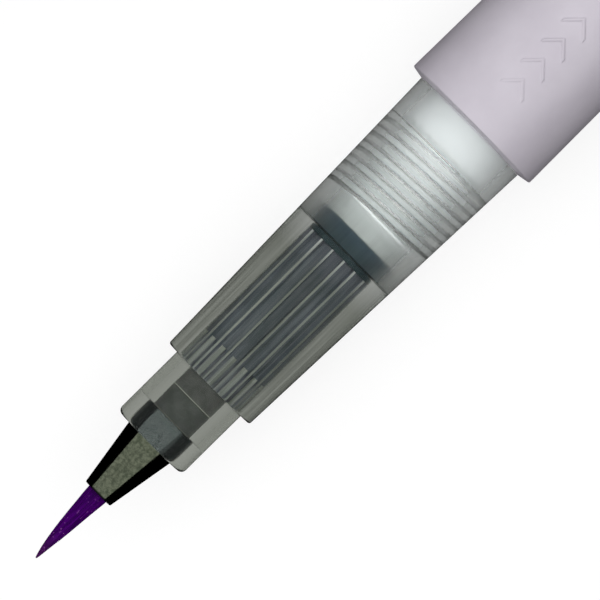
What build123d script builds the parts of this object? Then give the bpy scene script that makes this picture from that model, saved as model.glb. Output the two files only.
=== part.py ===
"""Squeeze-barrel brush pen, tip uncovered, cap posted on the tail.

Every piece is built on one local axis: local Z is the distance back from the bristle tip (a "station")
and local X points down to the table. place() then lays the pen along +X with its tip at -X.
All sizes are in millimetres.
"""
from build123d import *
import math
import os

# ---- clearances -------------------------------------------------------------------------------
press_gap = 0.02        # radial, between pieces that are pushed together for good
running_gap = 0.05      # radial, between pieces that slide on each other
face_gap = 0.03         # axial, between flat faces that seat on each other
socket_gap = 0.30       # radial, between the neck and the smooth mouth of the socket
thread_gap = 0.11       # axial, on each flank of the thread
lift_gap = 0.15         # from the clip's bead to the cap

# ---- bristle tuft and its ferrule -------------------------------------------------------------
tuft_length = 7.12
tuft_base_radius = 0.97
tuft_tip_radius = 0.03
tuft_taper_power = 0.66
tuft_tip_bend = 0.18
tuft_sections = 8
root_flange_length = 0.70
collar_length = 2.40
ferrule_reach = 5.76
ferrule_front_radius = 1.365
ferrule_nose_radius = 2.31
ferrule_flange_radius = 2.45
ferrule_flare = 0.85
ferrule_bore_radius = 1.70
ferrule_throat_length = 1.60
ferrule_throat_flare = 1.40
ferrule_seat_depth = 2.45
relay_radius = 0.42
relay_start_in_ferrule = 1.00
relay_reach_in_absorber = 4.00

# ---- clear front section ----------------------------------------------------------------------
nose_length = 6.60
nose_radius = 3.58
nose_corner = 0.75
nose_bore_radius = 2.00
nose_felt_length = 2.25
grip_length = 28.95
grip_front_radius = 4.515
grip_rear_radius = 5.415
grip_edge = 0.22
chamber_radius = 3.34
absorber_gap = 0.05
absorber_length = 14.37
long_rib_count = 18
rib_height = 0.34
rib_width = 0.16
rib_root = 0.20
short_rib_length = 2.90
short_rib_width = 0.40

# ---- flow disc, seal and screw joint ----------------------------------------------------------
flow_disc_radius = 3.50
flow_disc_thickness = 0.80
flow_boss_radius = 3.24
flow_boss_length = 0.55
flow_orifice_radius = 0.40
seal_thickness = 0.70
seal_bore_radius = 1.60
neck_lead_length = 1.90
neck_lead_radius = 3.35
thread_pitch = 1.60
thread_root_radius = 3.52
thread_height = 0.50
thread_root_width = 1.00
thread_crest_width = 0.42
thread_bite = 0.37
groove_run_in = 0.30
thread_overlap = 0.08
neck_land_radius = 4.00
neck_land_length = 3.31
socket_cone = 0.45

# ---- squeeze barrel ---------------------------------------------------------------------------
barrel_length = 82.50
barrel_mouth_radius = 6.50
barrel_waist_radius = 6.42
barrel_waist_length = 9.00
barrel_wall = 1.05
barrel_rim_rise = 0.20
barrel_rim_round = 0.12
barrel_tail_round = 0.20
neck_wall = 0.80
shoulder_wall = 1.60
shoulder_cone = 2.60
neck_plug_length = 4.40
neck_plug_recess_radius = 1.70
neck_plug_recess_depth = 3.20
mixing_ball_radius = 2.00
mixing_ball_gap = 0.30
mixing_ball_place = 22.0

# ---- raised squeeze mark ----------------------------------------------------------------------
mark_start = 3.85
mark_count = 4
mark_pitch = 2.25
mark_depth = 1.25
mark_height = 2.40
mark_stroke = 0.42
mark_rise = 0.10
mark_side_shift = -0.35

# ---- tail plug --------------------------------------------------------------------------------
tail_shank_length = 6.00
tail_collar_length = 1.50
tail_collar_round = 0.20
post_length = 10.00
post_radius = 5.50
post_round = 1.20
tail_plug_wall = 1.20

# ---- cap --------------------------------------------------------------------------------------
cap_radius = 6.50
cap_mouth_round = 0.20
cap_mouth_chamfer = 0.25
tip_headroom = 1.00
shoulder_headroom = 0.55
liner_wall = 0.85
liner_foot_thickness = 1.00
liner_tip_radius = 3.20
liner_chamfer = 0.35
crown_shank_length = 2.80
crown_step = 0.30
crown_head_length = 2.20
crown_head_round = 0.90

# ---- cap clip ---------------------------------------------------------------------------------
clip_length = 38.0
clip_width = 3.20
clip_thickness = 0.50
clip_standoff = 0.40
clip_tongue_thickness = 0.80
clip_tongue_to_crown = 0.20
clip_notch_side_gap = 0.20
clip_notch_swing_gap = 0.45
clip_head_width = 4.80
clip_head_height = 0.60
clip_head_gap = 0.20
clip_bead_radius = 1.10
clip_bead_margin = 1.40
clip_bend_radius = 0.45

# ---- stations worked out from the lengths -----------------------------------------------------
ferrule_front = tuft_length
nose_front = ferrule_front + ferrule_reach
ferrule_rear = nose_front + ferrule_seat_depth
nose_rear = nose_front + nose_length
absorber_front = nose_rear + face_gap
absorber_rear = absorber_front + absorber_length
chamber_rear = absorber_rear + flow_boss_length
rib_step = 360 / long_rib_count
absorber_radius = chamber_radius - absorber_gap - rib_height
barrel_mouth = nose_rear + grip_length
disc_front = chamber_rear + face_gap
disc_rear = disc_front + flow_disc_thickness
seal_front = disc_rear + face_gap
seal_rear = seal_front + seal_thickness
neck_front = seal_rear + face_gap
thread_front = neck_front + neck_lead_length
thread_rear = barrel_mouth - neck_land_length
barrel_rear = barrel_mouth + barrel_length
collar_rear = barrel_rear + face_gap + tail_collar_length
post_rear = collar_rear + post_length
cap_mouth = collar_rear + face_gap

# ---- radii and depths worked out from their mates ---------------------------------------------
seat_radius = ferrule_flange_radius + press_gap
socket_radius = thread_root_radius + thread_height - thread_bite
groove_radius = thread_root_radius + thread_height + thread_gap
socket_mouth_radius = neck_land_radius + socket_gap
barrel_bore_radius = barrel_waist_radius - barrel_wall
neck_bore_radius = neck_lead_radius - neck_wall
cap_bore_radius = post_radius + running_gap
liner_nose_radius = nose_radius + running_gap
liner_mouth_depth = grip_length + shoulder_headroom
liner_step_depth = grip_length + nose_length + shoulder_headroom
liner_floor_depth = grip_length + nose_length + ferrule_reach + tuft_length + tip_headroom
liner_foot_depth = liner_floor_depth + liner_foot_thickness
shell_length = liner_foot_depth + crown_shank_length
pen_length = cap_mouth + shell_length + face_gap + crown_head_length
crown_bore_radius = cap_bore_radius - crown_step
clip_head_outer = math.sqrt((crown_bore_radius - clip_head_gap) ** 2 - (clip_head_width / 2) ** 2)
clip_head_inner = clip_head_outer - clip_head_height

# The clip's lower edge meets the table together with the cap, which keeps the pen from rolling.
clip_inner = cap_radius + clip_standoff
clip_outer = clip_inner + clip_thickness
clip_edge_reach = math.hypot(clip_outer, clip_width / 2)
clip_edge_angle = math.atan2(clip_width / 2, clip_outer)
clip_turn = math.degrees(clip_edge_angle + math.acos(cap_radius / clip_edge_reach))


def place(shape):
    """Lay a piece from the local axis along +X, resting on z = 0, with the origin at mid length."""
    return Pos(-pen_length / 2, 0, cap_radius) * Rot(0, 90, 0) * shape


def turned(*outline):
    """Solid of revolution; outline points are (radius, station)."""
    points = [(radius, 0, station) for radius, station in outline]
    return revolve(make_face(Polyline(*points, close=True)), Axis.Z)


def rod(radius, front, rear):
    """Cylinder between two stations."""
    return Pos(0, 0, front) * Cylinder(radius, rear - front, align=(Align.CENTER, Align.CENTER, Align.MIN))


def helix_bar(root_radius, crest_radius, root_width, crest_width, front, rear):
    """Right-hand helical bar of trapezoid section, its middle running from front to rear."""
    path = Helix(pitch=thread_pitch, height=rear - front, radius=root_radius)
    section = Polyline(
        (root_radius, 0, -root_width / 2),
        (crest_radius, 0, -crest_width / 2),
        (crest_radius, 0, crest_width / 2),
        (root_radius, 0, root_width / 2),
        close=True,
    )
    return Pos(0, 0, front) * sweep(make_face(section), path=path, is_frenet=True)


def ring_edges(shape, radius, station):
    """The circular edges of one radius at one station, for a round or a chamfer."""
    return [
        edge
        for edge in shape.edges().filter_by(GeomType.CIRCLE)
        if abs(edge.radius - radius) < 1e-3 and abs(edge.center().Z - station) < 1e-3
    ]


def bristle_tuft():
    """Pointed filament bundle; its melted root is the wide flange at the back."""
    root_front = nose_front + ferrule_throat_length
    root_rear = root_front + root_flange_length
    slices = []
    for number in range(tuft_sections):
        share = (number / (tuft_sections - 1)) ** 1.6
        radius = tuft_tip_radius + (tuft_base_radius - tuft_tip_radius) * share**tuft_taper_power
        bend = -tuft_tip_bend * (1 - share) ** 3
        slices.append(Pos(0, bend, share * tuft_length) * Circle(radius))
    bundle = loft(slices)
    shank = turned(
        (0, tuft_length),
        (tuft_base_radius, tuft_length),
        (tuft_base_radius, root_front),
        (ferrule_bore_radius - press_gap, root_front),
        (ferrule_bore_radius - press_gap, root_rear),
        (0, root_rear),
    )
    core_front = ferrule_front + relay_start_in_ferrule - face_gap
    core_hole = rod(relay_radius + press_gap, core_front, root_rear + 1)
    return bundle + shank - core_hole


def tuft_collar():
    """Ring that squeezes the bundle just in front of its melted root."""
    rear = nose_front + ferrule_throat_length - face_gap
    ring = rod(ferrule_bore_radius - press_gap, rear - collar_length, rear)
    return ring - rod(tuft_base_radius + press_gap, rear - collar_length - 1, rear + 1)


def ferrule():
    """Conical holder; its straight rear part is pushed into the nose."""
    collar_front = nose_front + ferrule_throat_length - collar_length - 2 * face_gap
    mouth_radius = tuft_base_radius + press_gap
    return turned(
        (mouth_radius, ferrule_front),
        (ferrule_front_radius, ferrule_front),
        (ferrule_nose_radius, nose_front),
        (ferrule_flange_radius, nose_front + ferrule_flare),
        (ferrule_flange_radius, ferrule_rear - face_gap),
        (ferrule_bore_radius, ferrule_rear - face_gap),
        (ferrule_bore_radius, collar_front),
        (mouth_radius, collar_front - ferrule_throat_flare),
    )


def relay_core():
    """Fibre rod that carries ink from the absorber into the root of the tuft."""
    return rod(relay_radius, ferrule_front + relay_start_in_ferrule, nose_rear + relay_reach_in_absorber)


def nose_filler(front, rear):
    """Porous sleeve round the relay core in the nose bore."""
    sleeve = rod(nose_bore_radius - press_gap, front, rear)
    return sleeve - rod(relay_radius + press_gap, front - 1, rear + 1)


def front_section():
    """One clear moulding: nose, tapered grip, smooth chamber and threaded socket."""
    rear = barrel_mouth - face_gap
    thread_end = thread_rear - socket_cone
    body = turned(
        (seat_radius, nose_front),
        (nose_radius, nose_front),
        (nose_radius, nose_rear),
        (grip_front_radius, nose_rear),
        (grip_rear_radius, rear),
        (socket_radius, rear),
        (socket_radius, chamber_rear),
        (chamber_radius, chamber_rear),
        (chamber_radius, nose_rear),
        (nose_bore_radius, nose_rear),
        (nose_bore_radius, ferrule_rear),
        (seat_radius, ferrule_rear),
    )
    flank = (thread_root_width - thread_crest_width) / 2 / thread_height
    groove_depth = groove_radius - thread_root_radius
    groove_width = thread_root_width + 2 * thread_gap
    groove = helix_bar(
        thread_root_radius,
        groove_radius,
        groove_width,
        groove_width - 2 * flank * groove_depth,
        thread_front - groove_run_in,
        thread_end + thread_pitch,
    )
    body -= Rot(0, 0, -360 * groove_run_in / thread_pitch) * groove
    body -= turned(
        (0, thread_end),
        (socket_radius, thread_end),
        (socket_mouth_radius, thread_rear),
        (socket_mouth_radius, rear + 1),
        (0, rear + 1),
    )
    body = fillet(ring_edges(body, nose_radius, nose_front), nose_corner)
    return fillet(ring_edges(body, grip_front_radius, nose_rear), grip_edge)


def absorber_rib(angle, width, length):
    """One rib along the reservoir from its front end, reaching out to the chamber wall."""
    bar = Pos(absorber_radius - rib_root, 0, absorber_front) * Box(
        rib_height + rib_root, width, length, align=(Align.MIN, Align.CENTER, Align.MIN)
    )
    return Rot(0, 0, angle) * bar


def ink_absorber():
    """Ribbed fibre reservoir that holds the ink ready behind the nose."""
    body = rod(absorber_radius, absorber_front, absorber_rear)
    for number in range(long_rib_count):
        body += absorber_rib((number + 0.5) * rib_step, rib_width, absorber_length)
        body += absorber_rib(number * rib_step, short_rib_width, short_rib_length)
    relay_end = nose_rear + relay_reach_in_absorber + face_gap
    return body - rod(relay_radius + press_gap, absorber_front - 1, relay_end)


def flow_disc():
    """Disc with a fine orifice; its boss keeps the absorber forward."""
    return turned(
        (flow_orifice_radius, absorber_rear + face_gap),
        (flow_boss_radius, absorber_rear + face_gap),
        (flow_boss_radius, disc_front),
        (flow_disc_radius, disc_front),
        (flow_disc_radius, disc_rear),
        (flow_orifice_radius, disc_rear),
    )


def seal_ring():
    """Soft washer between the flow disc and the barrel's neck."""
    return rod(flow_disc_radius, seal_front, seal_rear) - rod(seal_bore_radius, seal_front - 1, seal_rear + 1)


def squeeze_mark():
    """Row of plain raised chevrons that shows where to squeeze."""
    half = mark_height / 2
    arm_end = mark_depth
    chevron = Polyline(
        (0, -half),
        (mark_stroke, -half),
        (arm_end + mark_stroke, 0),
        (mark_stroke, half),
        (0, half),
        (arm_end, 0),
        close=True,
    )
    chevron = fillet(make_face(chevron).vertices(), mark_stroke / 4)
    start = barrel_mouth + mark_start
    base = Plane(origin=(0, mark_side_shift, start), x_dir=(0, 0, 1), z_dir=(-1, 0, 0))
    bars = []
    for number in range(mark_count):
        bars.append(extrude(base * Pos(number * mark_pitch, 0, 0) * chevron, barrel_mouth_radius + 1))
    skin = rod(barrel_waist_radius + mark_rise, start - 1, start + mark_count * mark_pitch + 1)
    skin -= rod(barrel_waist_radius - barrel_wall / 2, start - 2, start + mark_count * mark_pitch + 2)
    marks = Part()
    for bar in bars:
        marks += skin & bar
    return marks


def squeeze_barrel():
    """Soft ink barrel with a threaded neck, open at the tail for its plug."""
    body = turned(
        (neck_bore_radius, neck_front),
        (neck_lead_radius, neck_front),
        (neck_lead_radius, thread_front - thread_root_width),
        (thread_root_radius, thread_front - thread_root_width / 2),
        (thread_root_radius, thread_rear),
        (neck_land_radius, thread_rear + thread_height),
        (neck_land_radius, barrel_mouth),
        (grip_rear_radius, barrel_mouth),
        (barrel_mouth_radius, barrel_mouth + barrel_rim_rise),
        (barrel_waist_radius, barrel_mouth + barrel_waist_length),
        (barrel_waist_radius, barrel_rear),
        (barrel_bore_radius, barrel_rear),
        (barrel_bore_radius, barrel_mouth + shoulder_wall + shoulder_cone),
        (neck_bore_radius, barrel_mouth + shoulder_wall),
    )
    body = fillet(ring_edges(body, barrel_mouth_radius, barrel_mouth + barrel_rim_rise), barrel_rim_round)
    body = fillet(ring_edges(body, barrel_waist_radius, barrel_rear), barrel_tail_round)
    thread = helix_bar(
        thread_root_radius - thread_overlap,
        thread_root_radius + thread_height,
        thread_root_width + 2 * thread_overlap * (thread_root_width - thread_crest_width) / 2 / thread_height,
        thread_crest_width,
        thread_front,
        thread_rear - thread_root_width / 2,
    )
    return body + thread + squeeze_mark()


def neck_plug():
    """Stopper with a fine orifice, pushed into the neck."""
    rear = neck_front + neck_plug_length
    return turned(
        (flow_orifice_radius, neck_front),
        (neck_bore_radius - press_gap, neck_front),
        (neck_bore_radius - press_gap, rear),
        (neck_plug_recess_radius, rear),
        (neck_plug_recess_radius, rear - neck_plug_recess_depth),
        (flow_orifice_radius, rear - neck_plug_recess_depth),
    )


def mixing_ball():
    """Loose ball that stirs the ink; it lies at the bottom of the chamber."""
    drop = barrel_bore_radius - mixing_ball_radius - mixing_ball_gap
    return Pos(drop, 0, barrel_mouth + mixing_ball_place) * Sphere(mixing_ball_radius)


def tail_plug():
    """Plug that closes the barrel, with a colour collar and a post for the cap."""
    shank_front = barrel_rear - tail_shank_length
    shank_radius = barrel_bore_radius - press_gap
    inner_radius = shank_radius - tail_plug_wall
    body = turned(
        (inner_radius, shank_front),
        (shank_radius, shank_front),
        (shank_radius, barrel_rear + face_gap),
        (barrel_waist_radius, barrel_rear + face_gap),
        (barrel_waist_radius, collar_rear),
        (post_radius, collar_rear),
        (post_radius, post_rear),
        (0, post_rear),
        (0, post_rear - tail_plug_wall),
        (inner_radius, post_rear - tail_plug_wall),
    )
    body = fillet(ring_edges(body, post_radius, post_rear), post_round)
    return fillet(ring_edges(body, barrel_waist_radius, collar_rear), tail_collar_round)


def cap_shell():
    """Outer tube of the cap, notched at its closed end for the clip."""
    rear = cap_mouth + shell_length
    foot = cap_mouth + liner_foot_depth
    shell = turned(
        (cap_bore_radius, cap_mouth),
        (cap_radius, cap_mouth),
        (cap_radius, rear),
        (crown_bore_radius, rear),
        (crown_bore_radius, foot),
        (cap_bore_radius, foot),
    )
    shell = fillet(ring_edges(shell, cap_radius, cap_mouth), cap_mouth_round)
    shell = chamfer(ring_edges(shell, cap_bore_radius, cap_mouth), cap_mouth_chamfer)
    depth = clip_notch_swing_gap + clip_tongue_thickness + clip_tongue_to_crown
    width = clip_width + 2 * clip_notch_side_gap
    notch = Box(2 * cap_radius, width, depth, align=(Align.MIN, Align.CENTER, Align.MAX))
    return shell - Rot(0, 0, clip_turn) * Pos(0, 0, rear) * notch


def cap_liner():
    """Inner cup that seals on the nose; its foot is held between shell and crown."""
    mouth = cap_mouth + liner_mouth_depth
    step = cap_mouth + liner_step_depth
    floor = cap_mouth + liner_floor_depth
    foot = cap_mouth + liner_foot_depth - face_gap
    outer = liner_nose_radius + liner_wall
    cup = turned(
        (liner_nose_radius, mouth),
        (outer, mouth),
        (outer, floor),
        (cap_bore_radius - press_gap, floor),
        (cap_bore_radius - press_gap, foot),
        (0, foot),
        (0, floor),
        (liner_tip_radius, floor),
        (liner_tip_radius, step),
        (liner_nose_radius, step),
    )
    return chamfer(ring_edges(cup, liner_nose_radius, mouth), liner_chamfer)


def cap_crown():
    """End button; its shank closes the shell and leaves a pocket for the clip's head."""
    foot = cap_mouth + liner_foot_depth
    rear = cap_mouth + shell_length + face_gap
    button = turned(
        (0, foot),
        (crown_bore_radius - press_gap, foot),
        (crown_bore_radius - press_gap, rear),
        (cap_radius, rear),
        (cap_radius, rear + crown_head_length),
        (0, rear + crown_head_length),
    )
    button = fillet(ring_edges(button, cap_radius, rear + crown_head_length), crown_head_round)
    width = clip_head_width + 2 * clip_head_gap
    pocket = Pos(clip_head_inner - clip_head_gap, 0, foot - 1) * Box(
        cap_radius, width, rear - foot + 1, align=(Align.MIN, Align.CENTER, Align.MIN)
    )
    return button - Rot(0, 0, clip_turn) * pocket


def cap_clip():
    """Sprung steel clip; its head sits in the crown's pocket behind the notch."""
    tongue_rear = cap_mouth + shell_length + face_gap - clip_tongue_to_crown
    strip = Pos(clip_inner, 0, tongue_rear) * Box(
        clip_thickness, clip_width, clip_length, align=(Align.MIN, Align.CENTER, Align.MAX)
    )
    tongue = Pos(clip_head_inner, 0, tongue_rear) * Box(
        clip_outer - clip_head_inner,
        clip_width,
        clip_tongue_thickness,
        align=(Align.MIN, Align.CENTER, Align.MAX),
    )
    head = Pos(clip_head_inner, 0, tongue_rear) * Box(
        clip_head_height, clip_head_width, clip_tongue_thickness, align=(Align.MIN, Align.CENTER, Align.MAX)
    )
    bead_rise = clip_standoff - lift_gap
    sphere_radius = (clip_bead_radius**2 + bead_rise**2) / (2 * bead_rise)
    bead_place = tongue_rear - clip_length + clip_bead_radius + clip_bead_margin
    ball = Pos(clip_inner - bead_rise + sphere_radius, 0, bead_place) * Sphere(sphere_radius)
    bead = ball & Pos(clip_inner - bead_rise, 0, bead_place) * Box(
        bead_rise + clip_thickness / 2,
        clip_width,
        clip_width,
        align=(Align.MIN, Align.CENTER, Align.CENTER),
    )
    clip = strip + tongue + head + bead
    bend = [
        edge
        for edge in clip.edges().filter_by(Axis.Y)
        if abs(edge.center().X - clip_outer) < 1e-3 and abs(edge.center().Z - tongue_rear) < 1e-3
    ]
    return Rot(0, 0, clip_turn) * fillet(bend, clip_bend_radius)


pieces = {
    "bristle_tuft": bristle_tuft(),
    "tuft_collar": tuft_collar(),
    "ferrule": ferrule(),
    "relay_core": relay_core(),
    "nose_felt": nose_filler(ferrule_rear, ferrule_rear + nose_felt_length),
    "felt_bush": nose_filler(ferrule_rear + nose_felt_length + face_gap, nose_rear),
    "front_section": front_section(),
    "ink_absorber": ink_absorber(),
    "flow_disc": flow_disc(),
    "seal_ring": seal_ring(),
    "squeeze_barrel": squeeze_barrel(),
    "neck_plug": neck_plug(),
    "mixing_ball": mixing_ball(),
    "tail_plug": tail_plug(),
    "cap_shell": cap_shell(),
    "cap_liner": cap_liner(),
    "cap_crown": cap_crown(),
    "cap_clip": cap_clip(),
}

os.makedirs("parts", exist_ok=True)
for name, shape in pieces.items():
    export_step(place(shape), f"parts/{name}.step")
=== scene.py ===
"""Brush pen: looks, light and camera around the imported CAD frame.

Lengths are in millimetres unless a comment says metres. A "station" is the distance back from the
bristle tip along +X. Angles round the pen start at its lowest line and turn towards +Y.
"""
import math

import bmesh
import bpy
import numpy as np
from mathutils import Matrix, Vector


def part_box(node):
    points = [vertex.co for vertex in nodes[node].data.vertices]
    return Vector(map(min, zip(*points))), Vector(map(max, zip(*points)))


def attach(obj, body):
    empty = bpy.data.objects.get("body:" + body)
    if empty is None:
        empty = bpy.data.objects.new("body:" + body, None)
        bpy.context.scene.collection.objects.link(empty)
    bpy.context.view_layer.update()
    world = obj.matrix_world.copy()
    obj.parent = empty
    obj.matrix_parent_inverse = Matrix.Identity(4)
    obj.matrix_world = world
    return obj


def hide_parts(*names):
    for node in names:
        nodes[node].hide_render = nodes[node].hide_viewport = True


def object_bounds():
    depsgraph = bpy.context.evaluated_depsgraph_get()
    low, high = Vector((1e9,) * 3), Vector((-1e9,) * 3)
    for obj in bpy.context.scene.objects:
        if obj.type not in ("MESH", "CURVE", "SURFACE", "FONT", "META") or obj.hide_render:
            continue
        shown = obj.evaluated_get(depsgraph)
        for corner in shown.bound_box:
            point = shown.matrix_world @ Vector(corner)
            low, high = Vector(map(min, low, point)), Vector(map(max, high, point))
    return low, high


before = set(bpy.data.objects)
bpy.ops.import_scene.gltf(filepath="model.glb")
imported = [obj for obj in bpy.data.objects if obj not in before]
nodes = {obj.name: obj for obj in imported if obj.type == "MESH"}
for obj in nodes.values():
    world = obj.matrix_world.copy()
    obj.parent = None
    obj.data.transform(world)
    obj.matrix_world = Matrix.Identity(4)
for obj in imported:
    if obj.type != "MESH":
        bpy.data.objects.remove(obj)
cad_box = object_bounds()
MM = 0.001  # one millimetre, in metres
rng = np.random.default_rng(20)

tip_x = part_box("bristle_tuft")[0].x  # metres
axis_z = (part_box("cap_crown")[0].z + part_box("cap_crown")[1].z) / 2  # metres


def front_of(node):
    return (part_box(node)[0].x - tip_x) / MM


def rear_of(node):
    return (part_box(node)[1].x - tip_x) / MM


def radius_of(node):
    return (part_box(node)[1].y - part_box(node)[0].y) / 2 / MM


# ---- sizes shared by the pieces ------------------------------------------------------------------
FACE_GAP = 0.03  # between flat faces that seat on each other
DISC_ROOM = 0.86  # the flow disc's rim and the gaps on both its faces

# Thread: starts and ends are measured from the neck's front
PITCH = 1.60
THREAD_START, THREAD_END = 1.90, 9.10
THREAD_ROOT, THREAD_CREST = 3.52, 4.02
LAND = 4.00  # smooth neck behind the thread

# Clear moulding
SEAT, NOSE_BORE, NOSE = 2.47, 2.00, 3.58
CHAMBER = 3.34
SOCKET, SOCKET_MOUTH, SOCKET_CONE = 3.65, 4.30, 0.45
GROOVE, GROOVE_RUN_IN = 4.13, 0.30

# Fibre reservoir: length of its short ribs
SHORT_RIB = 2.90

# Barrel: thinnest outside radius, and how far behind the mouth it is reached
WAIST, WAIST_LENGTH = 6.42, 9.00

# Faces round the pen on plain turned pieces
SIDES, CAP_SIDES = 192, 256

# ---- stations shared by the pieces ---------------------------------------------------------------
ferrule_front, ferrule_rear = front_of("ferrule"), rear_of("ferrule")
nose_front, socket_rear = front_of("front_section"), rear_of("front_section")
nose_rear = rear_of("felt_bush")
chamber_rear = front_of("seal_ring") - DISC_ROOM
neck_front = front_of("neck_plug")
thread_front, thread_rear = neck_front + THREAD_START, neck_front + THREAD_END
barrel_mouth = socket_rear + FACE_GAP
barrel_rear = rear_of("squeeze_barrel")
cap_mouth, shell_rear = front_of("cap_shell"), rear_of("cap_shell")
collar_rear = cap_mouth - FACE_GAP
post_rear = rear_of("tail_plug")
cap_foot, crown_rear = front_of("cap_crown"), rear_of("cap_crown")


def at(station):
    """World x of a station, in metres."""
    return tip_x + station * MM


# ---- materials -----------------------------------------------------------------------------------
class Paint:
    """A Principled material with a few node helpers."""

    def __init__(self, name, **sockets):
        self.mat = bpy.data.materials.new(name)
        self.mat.use_nodes = True
        self.tree = self.mat.node_tree
        self.bsdf = self.tree.nodes["Principled BSDF"]
        self.out = self.tree.nodes["Material Output"]
        self.place = self.add("ShaderNodeTexCoord").outputs["Object"]
        for key, value in sockets.items():
            self.bsdf.inputs[key.replace("_", " ")].default_value = value

    def add(self, kind, **settings):
        node = self.tree.nodes.new(kind)
        for key, value in settings.items():
            setattr(node, key, value)
        return node

    def put(self, value, socket):
        """Value into a socket: a link from another socket, a colour or a number."""
        if isinstance(value, tuple):
            socket.default_value = (*value, 1)
        elif isinstance(value, (int, float)):
            socket.default_value = value
        else:
            self.tree.links.new(value, socket)

    # sources

    def noise(self, scale, detail=3.0, rough=0.55, stretch=(1, 1, 1)):
        """Noise with features of about 1/scale millimetres, drawn out along an axis by stretch."""
        mapping = self.add("ShaderNodeMapping")
        mapping.inputs["Scale"].default_value = [scale / MM / s for s in stretch]
        self.put(self.place, mapping.inputs["Vector"])
        node = self.add("ShaderNodeTexNoise")
        node.inputs["Scale"].default_value = 1.0
        node.inputs["Detail"].default_value = detail
        node.inputs["Roughness"].default_value = rough
        self.put(mapping.outputs["Vector"], node.inputs["Vector"])
        return node.outputs["Fac"]

    def flakes(self, scale):
        """Three random numbers, Red, Green and Blue, for each cell of about 1/scale millimetres."""
        cells = self.add("ShaderNodeTexVoronoi")
        cells.inputs["Scale"].default_value = scale / MM
        self.put(self.place, cells.inputs["Vector"])
        split = self.add("ShaderNodeSeparateColor")
        self.put(cells.outputs["Color"], split.inputs["Color"])
        return split.outputs

    def axis(self, letter):
        """Object coordinate along X, Y or Z, in metres."""
        split = self.add("ShaderNodeSeparateXYZ")
        self.put(self.place, split.inputs["Vector"])
        return split.outputs[letter]

    def reach(self):
        """Distance from the pen's axis, in metres."""
        level = self.math("SUBTRACT", self.axis("Z"), axis_z)
        squares = [self.math("POWER", value, 2) for value in (self.axis("Y"), level)]
        return self.math("SQRT", self.math("ADD", *squares))

    # numbers and colours worked out from them

    def math(self, operation, first, second=0.0):
        node = self.add("ShaderNodeMath", operation=operation)
        self.put(first, node.inputs[0])
        self.put(second, node.inputs[1])
        return node.outputs[0]

    def both(self, first, second):
        return self.math("MULTIPLY", first, second)

    def ramp(self, source, low, high, from_low, from_high, smooth=True):
        """Number from source, taken from from_low..from_high to low..high."""
        node = self.add("ShaderNodeMapRange")
        node.interpolation_type = "SMOOTHSTEP" if smooth else "LINEAR"
        node.inputs["From Min"].default_value = from_low
        node.inputs["From Max"].default_value = from_high
        node.inputs["To Min"].default_value = low
        node.inputs["To Max"].default_value = high
        self.put(source, node.inputs["Value"])
        return node.outputs["Result"]

    def along(self, start, end, smooth=True):
        """0 in front of the station start and 1 behind the station end."""
        return self.ramp(self.axis("X"), 0, 1, at(start), at(end), smooth)

    def line(self, station, half):
        """1 on a ring of the given half width round a station, else 0."""
        away = self.math("ABSOLUTE", self.math("SUBTRACT", self.axis("X"), at(station)))
        return self.ramp(away, 1, 0, 0.6 * half * MM, half * MM)

    def cloud(self, source, low=0.0, high=1.0):
        """Noise with its middle range drawn out to low..high."""
        return self.ramp(source, low, high, 0.3, 0.7)

    def mix(self, factor, first, second):
        """Number between first and second; either is a number or a socket."""
        node = self.add("ShaderNodeMix", data_type="FLOAT")
        self.put(factor, node.inputs["Factor"])
        self.put(first, node.inputs[2])
        self.put(second, node.inputs[3])
        return node.outputs[0]

    def blend(self, factor, first, second):
        """Colour between first and second; either is a colour or a socket."""
        node = self.add("ShaderNodeMix", data_type="RGBA")
        self.put(factor, node.inputs["Factor"])
        self.put(first, node.inputs[6])
        self.put(second, node.inputs[7])
        return node.outputs[2]

    # the shader's own sockets

    def colour(self, source):
        self.put(source, self.bsdf.inputs["Base Color"])

    def rough(self, source):
        self.put(source, self.bsdf.inputs["Roughness"])

    def bump(self, height, depth):
        """Relief of the given depth."""
        node = self.add("ShaderNodeBump")
        node.inputs["Strength"].default_value = 1.0
        node.inputs["Distance"].default_value = depth * MM
        self.put(height, node.inputs["Height"])
        self.put(node.outputs["Normal"], self.bsdf.inputs["Normal"])


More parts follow.
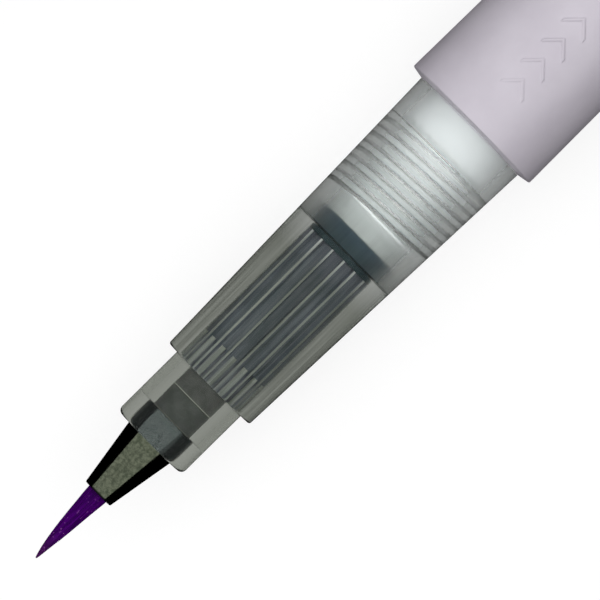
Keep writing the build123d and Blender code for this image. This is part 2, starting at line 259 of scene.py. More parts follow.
def clear_smoke():
    """Smoky clear plastic: polished outside, satin in the chamber, frosted in the threads.

    The nose and the streaked grip are tinted darker, and the plastic clears towards the thread.
    """
    nose, wall_dark, wall_light = (0.56, 0.58, 0.53), (0.31, 0.325, 0.29), (0.50, 0.52, 0.475)
    # The last colour on the next line is painted shade, for a ring at the chamber's rear.
    clear, shoulder_shade_dark = (0.97, 0.985, 0.985), (0.20, 0.22, 0.21)
    grip_blend, clearing_start = 0.3, 12
    shoulder_shade_half, shoulder_shade_inner, shoulder_shade_outer = 0.09, 4.2, 4.5
    satin_inner, satin_outer, satin_rough = 3.42, 3.50, 0.09
    frost_inner, frost_outer, frost_rough = 4.36, 4.44, 0.56
    smoke_colour, smoke_density = (0.50, 0.52, 0.49), 160.0
    no_veil = (0.10, 0.10, 0.10, 1)  # keeps the white studio's reflection off the dark insides
    paint = Paint("clear smoke plastic", Transmission_Weight=1.0, IOR=1.42, Specular_Tint=no_veil)

    reach = paint.reach()

    def inside(inner, outer, front):
        """1 on faces nearer the axis than inner and behind the station front, else 0."""
        near = paint.ramp(reach, 1, 0, inner * MM, outer * MM)
        return paint.both(near, paint.along(front, front + 0.1))

    cleared = paint.along(nose_rear + clearing_start, thread_front, smooth=False)
    grip = paint.along(nose_rear - grip_blend, nose_rear + grip_blend)
    streak = paint.ramp(paint.noise(2.4, 2, 0.6, stretch=(120, 1, 1)), 0, 1, 0.40, 0.60)
    darker_front = paint.blend(grip, nose, paint.blend(streak, wall_dark, wall_light))
    smoke = paint.blend(cleared, darker_front, clear)
    # Painted shade: a thin dark ring on the outer wall, over the inner shoulder at the chamber's
    # rear.
    skin = paint.ramp(reach, 0, 1, shoulder_shade_inner * MM, shoulder_shade_outer * MM)
    shoulder_shade = paint.both(paint.line(chamber_rear + 0.02, shoulder_shade_half), skin)
    paint.colour(paint.blend(shoulder_shade, smoke, shoulder_shade_dark))

    polish = paint.ramp(paint.noise(0.6, 3), 0.03, 0.06, 0.35, 0.7)
    satin = inside(satin_inner, satin_outer, nose_rear)
    frost = inside(frost_inner, frost_outer, chamber_rear)
    paint.rough(paint.mix(frost, paint.mix(satin, polish, satin_rough), frost_rough))
    paint.bump(paint.noise(0.9, 4, 0.6, stretch=(14, 1, 1)), 0.010)

    absorb = paint.add("ShaderNodeVolumeAbsorption")
    paint.put(smoke_colour, absorb.inputs["Color"])
    paint.put(smoke_density, absorb.inputs["Density"])
    paint.put(absorb.outputs["Volume"], paint.out.inputs["Volume"])
    return paint.mat


def barrel_soft():
    """Lilac satin outside, natural white on the neck, with painted shade that darkens it towards
    its front.
    """
    lilac_dark, lilac_light = (0.545, 0.508, 0.570), (0.585, 0.548, 0.610)
    # Painted shade: the first colour is the neck's darker front, painted as shade.
    darker_front, white, thread_edge = (0.54, 0.57, 0.565), (0.83, 0.85, 0.86), (0.95, 0.97, 0.98)
    paint = Paint("soft satin barrel", IOR=1.5)
    lilac = paint.blend(paint.cloud(paint.noise(0.25, 4)), lilac_dark, lilac_light)
    # Painted shade: the neck darkens towards its front, where it lies in shade inside the socket.
    out_of_shade = paint.along(neck_front + 3.5, thread_rear + 1.5, smooth=False)
    neck = paint.blend(out_of_shade, darker_front, white)
    neck = paint.blend(paint.line(thread_front + 0.08, 0.10), neck, thread_edge)
    behind = paint.along(barrel_mouth - 0.15, barrel_mouth - 0.05)
    paint.colour(paint.blend(behind, neck, lilac))
    paint.rough(paint.cloud(paint.noise(1.2, 4), 0.36, 0.48))
    paint.bump(paint.noise(3.5), 0.006)
    return paint.mat


def plain_plastic(name, dark, light, rough, gloss=0.15, scale=0.8, grain=2.5, depth=0.006):
    """Slightly clouded plastic; rough is its lowest and highest roughness."""
    paint = Paint(name, IOR=1.5, Specular_IOR_Level=gloss)
    paint.colour(paint.blend(paint.cloud(paint.noise(scale, 4)), dark, light))
    paint.rough(paint.cloud(paint.noise(1.5), *rough))
    paint.bump(paint.noise(grain), depth)
    return paint.mat


def black_gloss():
    """Polished black ferrule that mirrors the soft light as a grey band.

    Its seat is painted lighter, as painted light for its look through the nose's wall.
    """
    shown_dark, shown_light = (0.062, 0.074, 0.050), (0.138, 0.154, 0.108)
    # Painted light: these lighter seat colours stand for the seat's look through the nose's wall.
    seat_dark, seat_light = (0.126, 0.143, 0.164), (0.180, 0.198, 0.224)
    lip_black = (0.010, 0.010, 0.010)
    paint = Paint("black polished ferrule", Metallic=1.0, Specular_Tint=(0, 0, 0, 1))
    speck = paint.ramp(paint.noise(3.2, 5, 0.7), 0, 1, 0.36, 0.66)
    shown = paint.blend(speck, shown_dark, shown_light)
    seated = paint.blend(speck, seat_dark, seat_light)
    cone = paint.blend(paint.along(nose_front, nose_front + 0.15), shown, seated)
    behind_lip = paint.along(ferrule_front + 0.10, ferrule_front + 0.20)
    paint.colour(paint.blend(behind_lip, lip_black, cone))
    paint.rough(paint.cloud(paint.noise(2.0, 4), 0.05, 0.11))
    paint.bump(paint.noise(2.6, 4, 0.6), 0.004)
    return paint.mat


def felt(name, dark, light, edge, stretch=(1, 1, 1)):
    """Ink-soaked felt with a pale ring on its front edge, at the station edge."""
    paint = Paint(name, IOR=1.4, Specular_IOR_Level=0.1)
    fibre = paint.cloud(paint.noise(1.1, 3, 0.5, stretch))
    soaked = paint.blend(fibre, dark, light)
    paint.colour(paint.blend(paint.line(edge, 0.09), soaked, (0.80, 0.82, 0.80)))
    paint.rough(paint.ramp(fibre, 0.55, 0.8, 0, 1))
    paint.bump(fibre, 0.05)
    return paint.mat


def reservoir():
    """Soaked fibre, painted lighter at its front as painted light and darker towards its rear, with
    pale rib crests as painted highlights.
    """
    soaked_dark, soaked_light, dusk = (0.35, 0.385, 0.48), (0.47, 0.495, 0.62), (0.20, 0.21, 0.25)
    lit_front_dark, lit_front_light = (0.58, 0.59, 0.70), (0.76, 0.77, 0.90)
    crest_highlight_front, crest_highlight_rear = (0.84, 0.86, 0.92), (0.94, 0.96, 0.99)
    crest_inner, crest_outer = 3.21, 3.26
    rib_end = nose_rear + SHORT_RIB
    paint = Paint("ribbed reservoir", IOR=1.4, Specular_IOR_Level=0.1)
    fibre = paint.cloud(paint.noise(0.9, 3, 0.5, stretch=(2.5, 1, 1)))
    soaked = paint.blend(fibre, soaked_dark, soaked_light)
    soaked = paint.blend(paint.along(nose_rear + 12, chamber_rear, smooth=False), soaked, dusk)
    # Painted light: the fibre's front is painted paler, for the light that shows through there.
    lit_front = paint.blend(fibre, lit_front_dark, lit_front_light)
    body = paint.blend(paint.along(nose_rear + 1.9, rib_end + 0.1), lit_front, soaked)
    # Painted highlights: the rib crests are painted pale, paler still behind the short ribs.
    crest = paint.ramp(paint.reach(), 0, 1, crest_inner * MM, crest_outer * MM)
    pale = paint.blend(paint.along(rib_end - 0.5, rib_end - 0.2), crest_highlight_front, crest_highlight_rear)
    paint.colour(paint.blend(crest, body, pale))
    paint.rough(paint.ramp(fibre, 0.55, 0.8, 0, 1))
    return paint.mat


def steel_ball():
    paint = Paint("polished steel ball", Metallic=1.0)
    shine = paint.cloud(paint.noise(1.0))
    paint.colour(paint.blend(shine, (0.62, 0.62, 0.64), (0.72, 0.72, 0.74)))
    paint.rough(paint.cloud(paint.noise(2.0, 4), 0.08, 0.2))
    return paint.mat


def clip_steel():
    paint = Paint("brushed steel clip", Metallic=1.0)
    brush = paint.noise(6.0, 5, 0.6, stretch=(60, 1, 1))
    paint.colour(paint.blend(paint.cloud(brush), (0.52, 0.52, 0.54), (0.68, 0.68, 0.70)))
    paint.rough(paint.cloud(brush, 0.22, 0.36))
    paint.bump(brush, 0.006)
    return paint.mat


def violet_gloss():
    """Violet moulding with fine glitter in a glossy skin."""
    deep_dark, deep_light = (0.060, 0.010, 0.135), (0.085, 0.014, 0.175)
    glitter = (0.42, 0.20, 0.62)
    paint = Paint("violet glitter plastic", IOR=1.5, Coat_Weight=0.6, Coat_Roughness=0.06)
    flakes = paint.flakes(7.0)
    bright = paint.ramp(flakes["Red"], 0, 1, 0.93, 1.0)
    deep = paint.blend(paint.cloud(paint.noise(0.2, 4)), deep_dark, deep_light)
    paint.colour(paint.blend(bright, deep, glitter))
    paint.rough(paint.ramp(flakes["Green"], 0.24, 0.40, 0, 1))
    return paint.mat


def bristles():
    """Wet violet filaments, paler at the point, with sparse ink glitter."""
    deep_dark, deep_light = (0.030, 0.0002, 0.078), (0.072, 0.0005, 0.160)
    pale_dark, pale_light = (0.040, 0.004, 0.062), (0.086, 0.014, 0.112)
    glitter = (0.36, 0.10, 0.42)
    paint = Paint("violet bristles", IOR=1.45, Specular_IOR_Level=0.03)
    flakes = paint.flakes(9.0)
    streak = paint.ramp(paint.noise(5.0, 4, 0.6, stretch=(12, 1, 1)), 0, 1, 0.32, 0.7)
    deep = paint.blend(streak, deep_dark, deep_light)
    pale = paint.blend(streak, pale_dark, pale_light)
    body = paint.blend(paint.along(0, 3.2), pale, deep)
    flake = paint.ramp(flakes["Blue"], 0, 1, 0.965, 0.995)
    thinning = paint.ramp(paint.axis("X"), 1, 0.25, at(1.5), at(5))
    paint.colour(paint.blend(paint.both(flake, thinning), body, glitter))
    paint.rough(paint.ramp(flakes["Green"], 0.34, 0.50, 0, 1))
    return paint.mat


# ---- turned shapes -------------------------------------------------------------------------------
def rounded(corners, closed=True, steps=4):
    """Outline of (radius, station) points from corners of (radius, station, round).

    Each round is an arc of that many steps. Each long straight run gets a point close to both its
    ends, so that smooth shading stays on the rounds.
    """
    longest_share, edge = 0.45, 0.03
    count = len(corners)
    runs = []
    for n, (radius, station, size) in enumerate(corners):
        here = np.array((radius, station))
        if size == 0 or (not closed and n in (0, count - 1)):
            runs.append([here])
            continue
        before = np.array(corners[n - 1][:2]) - here
        after = np.array(corners[(n + 1) % count][:2]) - here
        before_length, after_length = np.linalg.norm(before), np.linalg.norm(after)
        before, after = before / before_length, after / after_length
        half = math.acos(np.clip(before @ after, -1, 1)) / 2
        reach = min(size / math.tan(half), longest_share * min(before_length, after_length))
        size = reach * math.tan(half)
        middle = before + after
        centre = here + middle / np.linalg.norm(middle) * size / math.sin(half)
        start, end = here + before * reach - centre, here + after * reach - centre
        turn = math.atan2(start[0] * end[1] - start[1] * end[0], start @ end)
        arc = []
        for k in range(steps + 1):
            sin, cos = math.sin(turn * k / steps), math.cos(turn * k / steps)
            arc.append(centre + (start[0] * cos - start[1] * sin, start[0] * sin + start[1] * cos))
        runs.append(arc)
    points = []
    for n, run in enumerate(runs):
        points += run
        if n == count - 1 and not closed:
            break
        a, b = run[-1], runs[(n + 1) % count][0]
        length = np.linalg.norm(b - a)
        if length > 4 * edge:
            inset = (b - a) / length * edge
            points += [a + inset, b - inset]
    return np.array(points)


def even(count):
    """That many angles, evenly spaced over one turn."""
    return np.arange(count) / count * math.tau


def smoothstep(x):
    x = np.clip(x, 0, 1)
    return x * x * (3 - 2 * x)


def shade(mesh, angle):
    """Smooth faces, except across edges sharper than the angle in degrees."""
    mesh.shade_smooth()
    mesh.set_sharp_from_angle(angle=math.radians(angle))


def piece(name, vertices, faces, body, mat, angle=35):
    """Object from vertices in metres, with outward faces, that rides on a body of the part."""
    mesh = bpy.data.meshes.new(name)
    mesh.from_pydata(np.asarray(vertices).tolist(), [], faces)
    mesh.validate()
    work = bmesh.new()
    work.from_mesh(mesh)
    bmesh.ops.recalc_face_normals(work, faces=work.faces)
    work.to_mesh(mesh)
    work.free()
    shade(mesh, angle)
    mesh.materials.append(mat)
    obj = bpy.data.objects.new(name, mesh)
    bpy.context.scene.collection.objects.link(obj)
    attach(obj, body)
    return obj


def turned(name, radii, stations, angles, body, mat, closed=True, angle=35):
    """Solid of revolution from grids of radius, station and angle.

    An outline that isn't closed starts and ends on the axis.
    """
    radii, stations, angles = np.broadcast_arrays(radii, stations, angles)
    x = tip_x + stations * MM
    y = radii * np.sin(angles) * MM
    z = axis_z - radii * np.cos(angles) * MM
    grid = np.stack((x, y, z), axis=-1)
    rows, columns = radii.shape
    if closed:
        vertices = grid.reshape(-1, 3)
        index = np.arange(rows * columns).reshape(rows, columns)
        index = np.vstack((index, index[:1]))
        faces = []
    else:
        inner = grid[1:-1].reshape(-1, 3)
        vertices = np.vstack((inner, grid[0, :1], grid[-1, :1]))
        index = np.arange((rows - 2) * columns).reshape(rows - 2, columns)
        first, last = len(inner), len(inner) + 1
        faces = [(first, index[0, (c + 1) % columns], index[0, c]) for c in range(columns)]
        faces += [(last, index[-1, c], index[-1, (c + 1) % columns]) for c in range(columns)]
    a, b = index[:-1], index[1:]
    quads = np.stack((a, np.roll(a, -1, 1), np.roll(b, -1, 1), b), axis=-1).reshape(-1, 4)
    faces = [tuple(map(int, f)) for f in faces] + quads.tolist()
    return piece(name, vertices, faces, body, mat, angle)


def turned_relief(name, rows, line, body, mat, angle):
    """Closed solid from rows of (radius, station); a radius is a number, or one for each angle."""
    radii = np.array([np.broadcast_to(radius, line.shape) for radius, _ in rows])
    stations = np.array([[station] for _, station in rows])
    return turned(name, radii, stations, line[None, :], body, mat, angle=angle)


def lathe(name, corners, count, body, mat, closed=True, steps=4):
    """Plain solid of revolution from corners as in rounded(), with count faces round the pen."""
    outline = rounded(corners, closed, steps)
    return turned(name, outline[:, :1], outline[:, 1:], even(count)[None, :], body, mat, closed)


def cut_box(obj, low, high, turn):
    """Cuts a box out of obj; low and high are (reach, side, station), turned round the pen."""
    work = bmesh.new()
    bmesh.ops.create_cube(work, size=1)
    for v in work.verts:
        reach, side, station = [lo + (c + 0.5) * (hi - lo) for lo, hi, c in zip(low, high, v.co)]
        down = reach * math.cos(turn) - side * math.sin(turn)
        across = reach * math.sin(turn) + side * math.cos(turn)
        v.co = (at(station), across * MM, axis_z - down * MM)
    bmesh.ops.recalc_face_normals(work, faces=work.faces)
    mesh = bpy.data.meshes.new("cutter")
    work.to_mesh(mesh)
    work.free()
    cutter = bpy.data.objects.new("cutter", mesh)
    bpy.context.scene.collection.objects.link(cutter)
    cut = obj.modifiers.new("cut", "BOOLEAN")
    cut.object = cutter
    cut.solver = "EXACT"
    bpy.context.view_layer.update()
    depsgraph = bpy.context.evaluated_depsgraph_get()
    made = bpy.data.meshes.new_from_object(obj.evaluated_get(depsgraph))
    obj.modifiers.clear()
    old = obj.data
    obj.data = made
    bpy.data.meshes.remove(old)
    bpy.data.objects.remove(cutter)
    bpy.data.meshes.remove(mesh)
    shade(made, 30)


def thread_phase(angles, stations):
    """Distance from the nearest turn of a right-hand thread, and that turn's station."""
    turns = (stations - thread_front) / PITCH - angles / math.tau
    offset = (turns - np.round(turns)) * PITCH
    return offset, stations - offset


# ---- clear front section -------------------------------------------------------------------------
def front_section(mat):
    """Nose, tapered grip, smooth chamber and threaded socket as one clear moulding."""
    grip_front, grip_rear = 4.515, radius_of("front_section")
    groove_half, groove_flank = 0.60, 0.38
    row_step, groove_step = 0.25, 0.055
    seat_end = ferrule_rear + FACE_GAP
    line = np.linspace(0, math.tau, 300, endpoint=False)

    def groove(station):
        """Radius of the socket at each angle: its bore and mouth cone, and the thread's groove."""
        cone = max(0, (station - thread_rear + SOCKET_CONE) / SOCKET_CONE)
        bore = SOCKET + cone * (SOCKET_MOUTH - SOCKET)
        offset, middle = thread_phase(line, station)
        deep = smoothstep((groove_half - np.abs(offset)) / groove_flank)
        begun = smoothstep((middle - thread_front + GROOVE_RUN_IN) / GROOVE_RUN_IN)
        return np.maximum(bore, SOCKET + (GROOVE - SOCKET) * deep * begun)

    outside = rounded(
        (
            (SEAT, nose_front, 0.06),
            (NOSE, nose_front, 0.75),
            (NOSE, nose_rear, 0.05),
            (grip_front, nose_rear, 0.22),
            (grip_rear, socket_rear, 0.05),
            (SOCKET_MOUTH, socket_rear, 0.05),
            (SOCKET_MOUTH, thread_rear, 0),
        ),
        closed=False,
        steps=6,
    )
    shoulder = [
        (SOCKET, chamber_rear + 0.05),
        (SOCKET - 0.02, chamber_rear),
        (CHAMBER + 0.03, chamber_rear),
        (CHAMBER, chamber_rear - 0.03),
    ]
    chamber_front = rounded(
        (
            (CHAMBER, nose_rear + 0.04, 0),
            (CHAMBER, nose_rear, 0.03),
            (NOSE_BORE, nose_rear, 0.04),
            (NOSE_BORE, nose_rear - 0.1, 0),
        ),
        closed=False,
    )
    seat = rounded(
        (
            (NOSE_BORE, ferrule_rear + 0.1, 0),
            (NOSE_BORE, seat_end, 0.03),
            (SEAT, seat_end, 0.03),
            (SEAT, nose_front + 0.2, 0),
        ),
        closed=False,
    )
    rows = list(outside)
    rows += [(groove(s), s) for s in np.arange(thread_rear - 0.06, neck_front - 0.05, -groove_step)]
    rows += shoulder
    rows += [(CHAMBER, s) for s in np.arange(chamber_rear - 0.2, nose_rear + 0.3, -row_step)]
    rows += [(CHAMBER, nose_rear + 0.05), *chamber_front]
    rows += [(NOSE_BORE, s) for s in np.arange(nose_rear - 0.3, ferrule_rear + 0.2, -row_step)]
    rows += list(seat)
    obj = turned_relief("front_moulding", rows, line, "front", mat, angle=50)
    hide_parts("front_section")


# ---- squeeze barrel ------------------------------------------------------------------------------
def barrel(mat):
    """Neck with its thread, and the soft barrel with the raised squeeze mark."""
    mouth_radius, rise, bore = 6.50, 0.20, WAIST - 1.05
    neck_bore, neck_lead = 2.55, 3.35
    shoulder_front, shoulder_rear = barrel_mouth + 1.6, barrel_mouth + 4.2
    ridge_half, ridge_flank, ridge_start, ridge_end = 0.50, 0.31, 0.6, 0.3
    thread_step, mark_step = 0.08, 0.055

    # The mark is a row of chevrons; depth is how far a chevron's point leads its ends
    mark_start, mark_count, mark_pitch = barrel_mouth + 3.85, 4, 2.25
    mark_depth, mark_half, mark_stroke, mark_flank = 1.25, 1.20, 0.42, 0.09
    mark_top, mark_side = WAIST + 0.10, -0.35
    mark_end = mark_start + (mark_count - 1) * mark_pitch + mark_depth + mark_stroke
    slant = mark_half / math.hypot(mark_depth, mark_half)

    # Fine columns over the mark, coarse ones round the rest
    mark_angle = math.pi - math.asin(mark_side / WAIST)
    near = np.radians(np.arange(-13.5, 13.51, 0.5))
    far = np.linspace(near[-1], near[0] + math.tau, 130)[1:-1]
    line = mark_angle + np.concatenate((near, far))

    def thread(station):
        """Radius of the neck at each angle, with the thread."""
        offset, middle = thread_phase(line % math.tau, station)
        ridge = smoothstep((ridge_half - np.abs(offset)) / ridge_flank)
        begun = smoothstep((middle - thread_front) / ridge_start)
        ended = smoothstep((thread_rear - 0.5 - middle) / ridge_end)
        return THREAD_ROOT + (THREAD_CREST - THREAD_ROOT) * ridge * (begun * ended)

    def skin(station):
        """Radius of the barrel, which narrows a little behind its mouth."""
        behind = (station - barrel_mouth - rise) / (WAIST_LENGTH - rise)
        return mouth_radius + (WAIST - mouth_radius) * min(1, behind)

    def marked(station):
        """Radius of the barrel at each angle, with the mark."""
        side = skin(station) * np.sin(line) - mark_side
        run = mark_depth * (1 - np.abs(side) / mark_half)
        height = np.zeros(line.shape)
        for number in range(mark_count):
            along = station - (mark_start + number * mark_pitch) - run
            across = np.minimum(along, mark_stroke - along) * slant
            across = np.minimum(across, mark_half - np.abs(side))
            height = np.maximum(height, smoothstep(across / mark_flank + 0.15))
        on_top = np.cos(line) < 0
        return skin(station) + (mark_top - skin(station)) * height * on_top

    neck_front_part = rounded(
        (
            (neck_bore, neck_front, 0.04),
            (neck_lead, neck_front, 0.08),
            (neck_lead, thread_front - 1.0, 0.05),
            (THREAD_ROOT, thread_front - 0.5, 0.05),
            (THREAD_ROOT, thread_front - 0.35, 0),
        ),
        closed=False,
    )
    mouth_part = rounded(
        (
            (THREAD_ROOT, thread_rear, 0),
            (LAND, thread_rear + 0.5, 0.10),
            (LAND, barrel_mouth, 0.04),
            (radius_of("front_section"), barrel_mouth, 0.05),
            (mouth_radius, barrel_mouth + rise, 0.14),
            (mouth_radius - 0.005, barrel_mouth + 1.2, 0),
        ),
        closed=False,
        steps=6,
    )
    rear_part = rounded(
        (
            (WAIST, barrel_rear - 0.5, 0),
            (WAIST, barrel_rear, 0.20),
            (bore, barrel_rear, 0.05),
            (bore, shoulder_rear, 0.30),
            (neck_bore, shoulder_front, 0.20),
            (neck_bore, neck_front + 0.2, 0),
        ),
        closed=False,
    )
    rows = list(neck_front_part)
    rows += [(thread(s), s) for s in np.arange(thread_front - 0.3, thread_rear, thread_step)]
    rows += list(mouth_part)
    rows += [(skin(s), s) for s in np.linspace(barrel_mouth + 1.8, mark_start - 0.25, 4)]
    rows += [(marked(s), s) for s in np.arange(mark_start - 0.2, mark_end + 0.25, mark_step)]
    rows += [(skin(s), s) for s in np.linspace(mark_end + 0.4, barrel_rear - 1, 60)]
    rows += list(rear_part)
    obj = turned_relief("soft_barrel", rows, line, "barrel", mat, angle=60)
    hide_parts("squeeze_barrel")


# ---- bristles ------------------------------------------------------------------------------------
def tuft(mat):
    """Bundle of tapered filaments round a solid heart, bent a little at the point."""
    length, base, point, bend = ferrule_front, 0.965, 0.025, 0.18
    root = length + 0.9
    heart_share, heart_rings, heart_sides = 0.86, 15, 24
    strand_count, strand_rings, strand_sides = 330, 14, 6
    thickness, twist_limit, wave_size, wave_rate = (0.036, 0.050), 0.10, 0.012, 1.7
    taper_length, taper_start = 2.2, 0.10
    golden_turn = math.pi * (3 - math.sqrt(5))

    # Strands inside this share of the radius start near the point, the outer ones further back
    inner_share, inner_start, outer_start, outer_power = 0.55, 0.35, (0.02, 0.62), 1.4
    point_strands, point_start = 14, 0.12

    def envelope(station):
        """Radius of the whole bundle."""
        share = min(1.0, max(0.0, station / length))
        return point + (base - point) * share**0.66

    def sway(station):
        """Sideways shift of the bundle's middle."""
        return -bend * max(0.0, 1 - station / length) ** 3

    vertices, faces = [], []

    def strand(stations, centres, radii, sides, phase):
        """Adds a filament; each of its rings has a station, a (side, down) centre and a radius."""
        start = len(vertices)
        for station, (side, down), radius in zip(stations, centres, radii):
            for k in range(sides):
                a = phase + math.tau * k / sides
                y = side + radius * math.sin(a) + sway(station)
                vertices.append((at(station), y * MM, axis_z - (down + radius * math.cos(a)) * MM))
        for ring in range(len(stations) - 1):
            for k in range(sides):
                a, b = start + ring * sides + k, start + ring * sides + (k + 1) % sides
                faces.append((a, b, b + sides, a + sides))
        last = start + (len(stations) - 1) * sides
        faces.append(tuple(range(start, start + sides)))
        faces.append(tuple(range(last, last + sides))[::-1])

    heart = [length * (n / heart_rings) ** 1.6 for n in range(1, heart_rings + 1)] + [root]
    middles = [(0, 0)] * len(heart)
    strand(heart, middles, [heart_share * envelope(s) for s in heart], heart_sides, 0)
    for number in range(strand_count):
        share = math.sqrt((number + 0.5) / strand_count)  # of the way out to the bundle's skin
        around = number * golden_turn + rng.uniform(-0.1, 0.1)
        if share < inner_share:
            front = rng.uniform(0.0, inner_start) * length * (1 - share)
        else:
            front = rng.uniform(*outer_start) ** outer_power * length
        if number < point_strands:
            front = rng.uniform(0, point_start)
        spread = [(k / (strand_rings - 1)) ** 1.25 for k in range(strand_rings)]
        stations = [front + (root - front) * part for part in spread]
        thick = rng.uniform(*thickness)
        twist = rng.uniform(-twist_limit, twist_limit)
        wave = rng.uniform(0, math.tau)
        centres, radii = [], []
        for station in stations:
            radius = thick * float(smoothstep((station - front) / taper_length + taper_start))
            limit = max(0.0, envelope(station) - radius)
            swell = 1 + wave_size * math.sin(wave + wave_rate * station)
            reach = min(limit, share * limit * swell)
            turn = around + twist * (1 - station / root)
            centres.append((reach * math.sin(turn), reach * math.cos(turn)))
            radii.append(radius)
        strand(stations, centres, radii, strand_sides, around)
    obj = piece("bristle_bundle", vertices, faces, "front", mat, 60)
    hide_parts("bristle_tuft")


# ---- plain turned pieces -------------------------------------------------------------------------
def ferrule(mat):
    tip, mouth, flange, bore, throat = 1.365, 2.31, 2.45, 1.70, 0.99
    obj = lathe(
        "ferrule_cone",
        (
            (throat, ferrule_front, 0.04),
            (tip, ferrule_front, 0.09),
            (mouth, nose_front, 0.25),
            (flange, nose_front + 0.85, 0.1),
            (flange, ferrule_rear, 0.05),
            (bore, ferrule_rear, 0.04),
            (bore, nose_front - 0.86, 0.04),
            (throat, nose_front - 2.26, 0),
        ),
        SIDES, "front", mat, steps=5,
    )
    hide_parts("ferrule")


def tail(mat):
    """Plug in the barrel's rear, with a collar and the hollow post for the cap."""
    inner, shank, post, wall = 4.15, 5.35, 5.5, 1.2
    front, seat = front_of("tail_plug"), barrel_rear + FACE_GAP
    obj = lathe(
        "tail_stopper",
        (
            (0, post_rear - wall, 0),
            (inner, post_rear - wall, 0.3),
            (inner, front, 0.05),
            (shank, front, 0.2),
            (shank, seat, 0.02),
            (WAIST, seat, 0.06),
            (WAIST, collar_rear, 0.20),
            (post, collar_rear, 0.05),
            (post, post_rear, 1.2),
            (0, post_rear, 0),
        ),
        SIDES, "barrel", mat, closed=False, steps=6,
    )
    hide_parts("tail_plug")


def cap(mat):
    """Cap tube and end button, with the notch and the pocket that hold the clip."""
    outer, bore, crown_bore = radius_of("cap_shell"), 5.55, 5.25
    shank, crown_front = crown_bore - 0.02, shell_rear + FACE_GAP
    notch_half, notch_depth = 1.80, 1.45
    head_half, head_gap, head_room = 2.4, 0.2, 0.8
    beyond, past_end = 13, 1  # how far the cuts reach from the axis, and past an end
    clip_low, clip_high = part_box("cap_clip")
    clip_side, clip_level = (clip_low.y + clip_high.y) / 2, (clip_low.z + clip_high.z) / 2
    turn = math.atan2(clip_side, axis_z - clip_level)
    shell = lathe(
        "cap_tube",
        (
            (bore, cap_mouth, 0.2),
            (outer, cap_mouth, 0.20),
            (outer, shell_rear, 0.06),
            (crown_bore, shell_rear, 0.03),
            (crown_bore, cap_foot, 0),
            (bore, cap_foot, 0.03),
        ),
        CAP_SIDES, "cap", mat, steps=5,
    )
    notch_front = (0, -notch_half, shell_rear - notch_depth)
    cut_box(shell, notch_front, (beyond, notch_half, shell_rear + past_end), turn)
    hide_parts("cap_shell")
    crown = lathe(
        "cap_button",
        (
            (0, cap_foot, 0),
            (shank, cap_foot, 0.05),
            (shank, crown_front, 0.02),
            (outer, crown_front, 0.06),
            (outer, crown_rear, 0.90),
            (0, crown_rear, 0),
        ),
        CAP_SIDES, "cap", mat, closed=False, steps=8,
    )
    head_outer = math.sqrt((crown_bore - head_gap) ** 2 - head_half**2)
    pocket_half = head_half + head_gap
    pocket_front = (head_outer - head_room, -pocket_half, cap_foot - past_end)
    cut_box(crown, pocket_front, (beyond, pocket_half, crown_front), turn)
    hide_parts("cap_crown")


def dress(node, mat, soften=0.0):
    """Material on a CAD node that stays; soften rounds its edges by that much."""
    obj = nodes[node]
    for slot in obj.material_slots:
        slot.material = mat
    if soften:
        bevel = obj.modifiers.new("edges", "BEVEL")
        bevel.width = soften * MM
        bevel.segments = 3
        bevel.limit_method = "ANGLE"
        bevel.angle_limit = math.radians(40)
        bevel.harden_normals = True


violet = violet_gloss()
front_section(clear_smoke())
barrel(barrel_soft())
tuft(bristles())
ferrule(black_gloss())
tail(violet)
cap(violet)

white = plain_plastic("white plastic", (0.76, 0.78, 0.78), (0.82, 0.84, 0.83), (0.32, 0.48),
                      gloss=0.5, scale=0.4, grain=3.0, depth=0.004)
collar = plain_plastic("collar", (0.03, 0.03, 0.035), (0.05, 0.05, 0.055), (0.40, 0.52))
disc = plain_plastic("flow disc", (0.052, 0.085, 0.104), (0.072, 0.110, 0.130), (0.35, 0.47))
rubber = plain_plastic("seal rubber", (0.049, 0.078, 0.106), (0.069, 0.104, 0.135), (0.45, 0.57))
relay = felt("relay fibre", (0.05, 0.03, 0.06), (0.10, 0.08, 0.11), front_of("relay_core"),
             stretch=(6, 1, 1))
sleeve = felt("nose felt", (0.165, 0.171, 0.186), (0.233, 0.237, 0.258), ferrule_rear)
bush = felt("felt bush", (0.218, 0.216, 0.237), (0.300, 0.297, 0.325), front_of("felt_bush"))
dress("tuft_collar", collar)
dress("relay_core", relay)
dress("nose_felt", sleeve)
dress("felt_bush", bush)
dress("ink_absorber", reservoir())
dress("flow_disc", disc, 0.06)
dress("seal_ring", rubber, 0.05)
dress("neck_plug", white)
dress("cap_liner", white, 0.05)
dress("mixing_ball", steel_ball())
dress("cap_clip", clip_steel(), 0.08)


# ---- studio --------------------------------------------------------------------------------------
def stage_card(name, corners, mat, *unseen_by):
    """Flat card outside the object; unseen_by names the kinds of ray that pass through it."""
    mesh = bpy.data.meshes.new(name)
    mesh.from_pydata(corners, [], [tuple(range(len(corners)))])
    mesh.materials.append(mat)
    obj = bpy.data.objects.new(name, mesh)
    bpy.context.scene.collection.objects.link(obj)
    for ray in unseen_by:
        setattr(obj, f"visible_{ray}", False)


def bare_tree(owner, output):
    """Node tree of a material or the world with nothing in it but its output."""
    owner.use_nodes = True
    owner.node_tree.nodes.clear()
    return owner.node_tree, owner.node_tree.nodes.new(output)


def grey_shader(tree, kind, level, strength=None):
    node = tree.nodes.new(kind)
    node.inputs["Color"].default_value = (level, level, level, 1)
    if strength is not None:
        node.inputs["Strength"].default_value = strength
    return node.outputs[0]


def joined(tree, kind, *sources, **settings):
    """Output of a new node whose inputs are linked to sources, in their order."""
    node = tree.nodes.new(kind)
    for key, value in settings.items():
        setattr(node, key, value)
    for source, socket in zip(sources, node.inputs):
        tree.links.new(source, socket)
    return node.outputs[0]


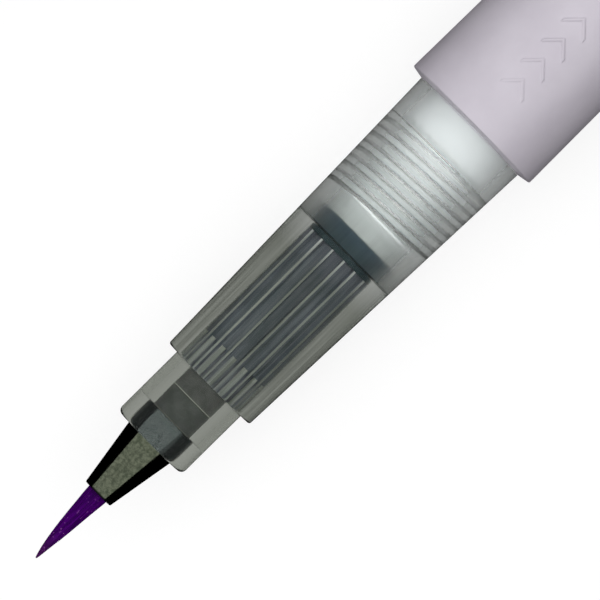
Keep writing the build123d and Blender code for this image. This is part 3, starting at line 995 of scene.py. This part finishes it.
def direct_rays(tree):
    """1 for rays from the camera and rays by way of gloss or glass, else 0."""
    path = tree.nodes.new("ShaderNodeLightPath")
    largest = path.outputs["Is Camera Ray"]
    for name in ("Is Glossy Ray", "Is Transmission Ray"):
        largest = joined(tree, "ShaderNodeMath", largest, path.outputs[name], operation="MAXIMUM")
    return largest


def floor_material():
    """Pale floor that shows nearly white to the camera and keeps a soft shadow."""
    glow_strength, shadow_grey, bounce_grey = 0.80, 0.24, 0.08
    mat = bpy.data.materials.new("studio floor")
    tree, out = bare_tree(mat, "ShaderNodeOutputMaterial")
    glow = grey_shader(tree, "ShaderNodeEmission", 1, glow_strength)
    pale = grey_shader(tree, "ShaderNodeBsdfDiffuse", shadow_grey)
    dim = grey_shader(tree, "ShaderNodeBsdfDiffuse", bounce_grey)
    seen = joined(tree, "ShaderNodeAddShader", glow, pale)
    shown = joined(tree, "ShaderNodeMixShader", direct_rays(tree), dim, seen)
    tree.links.new(shown, out.inputs["Surface"])
    return mat


def card_material(name, level):
    mat = bpy.data.materials.new(name)
    tree, out = bare_tree(mat, "ShaderNodeOutputMaterial")
    tree.links.new(grey_shader(tree, "ShaderNodeEmission", level), out.inputs["Surface"])
    return mat


def surroundings():
    """World that is white where it is seen, and a faint light on the object."""
    seen_strength, ambient_strength = 1.0, 0.15
    world = bpy.data.worlds.new("studio")
    bpy.context.scene.world = world
    tree, out = bare_tree(world, "ShaderNodeOutputWorld")
    seen = grey_shader(tree, "ShaderNodeBackground", 1, seen_strength)
    ambient = grey_shader(tree, "ShaderNodeBackground", 1, ambient_strength)
    shown = joined(tree, "ShaderNodeMixShader", direct_rays(tree), ambient, seen)
    tree.links.new(shown, out.inputs["Surface"])


def softbox(x):
    """Wide soft light over the pen, shifted to one side; its sizes are in metres."""
    height, span, length, radiance, shift = 0.50, 1.62, 2.4, 1.10, 0.215
    lamp = bpy.data.lights.new("overhead softbox", "AREA")
    lamp.shape = "RECTANGLE"
    lamp.size, lamp.size_y = length, span
    lamp.energy = radiance * math.pi * length * span
    box = bpy.data.objects.new("overhead_softbox", lamp)
    box.location = (x, shift, axis_z + height)
    box.visible_camera = False
    box.visible_glossy = False
    bpy.context.scene.collection.objects.link(box)


def studio():
    """Floor, light, and the cards round the pen; lengths are in metres.

    The black cards give gloss its dark edges. Only light through the clear plastic meets the grey
    ones, which set how dark its walls look.
    """
    far, reach, flag_side, flag_top, lift = 6.0, 0.16, 0.060, 0.038, 0.0002
    low, high = cad_box
    x = (low.x + high.x) / 2
    glass_only = ("camera", "glossy", "diffuse", "shadow")  # all rays but transmission
    black, grey = card_material("black flag", 0.0), card_material("grey flag", 0.30)
    bright_grey = card_material("grey mat", 0.60)

    def level_card(half_x, half_y, z, middle=0.0):
        signs = ((-1, -1), (1, -1), (1, 1), (-1, 1))
        return [(middle + a * half_x, b * half_y, z) for a, b in signs]

    stage_card("studio_floor", level_card(far, far, 0), floor_material())
    for side in (-1, 1):
        y = side * flag_side
        outline = ((x - reach, 0), (x + reach, 0), (x + reach, flag_top), (x - reach, flag_top))
        outer, inner = [[(a, b, c) for a, c in outline] for b in (y, y - side * 0.001)]
        stage_card(f"black_flag_{side + 1}", outer, black, "camera", "transmission")
        stage_card(f"grey_flag_{side + 1}", inner, grey, *glass_only)
    upper, under = [level_card(reach, flag_side, z, x) for z in (lift, lift / 2)]
    stage_card("black_mat", upper, black, "camera", "transmission", "diffuse", "shadow")
    stage_card("grey_mat", under, bright_grey, *glass_only)
    surroundings()
    softbox(x)


def camera():
    """Straight down on the front half of the pen, turned so that the pen runs up to the right."""
    aim_station, aim_side, frame_width, pen_angle = 29.24, -0.348, 47.43, 44.65
    data = bpy.data.cameras.new("camera")
    data.lens, data.sensor_width = 500.0, 36.0
    data.clip_start, data.clip_end = 0.01, 20.0
    distance = frame_width * data.lens / data.sensor_width
    obj = bpy.data.objects.new("camera", data)
    obj.location = (at(aim_station), aim_side * MM, axis_z + distance * MM)
    obj.rotation_euler = (0, 0, -math.radians(pen_angle))
    bpy.context.scene.collection.objects.link(obj)
    bpy.context.scene.camera = obj


studio()
camera()
bpy.context.scene.view_settings.view_transform = "Standard"
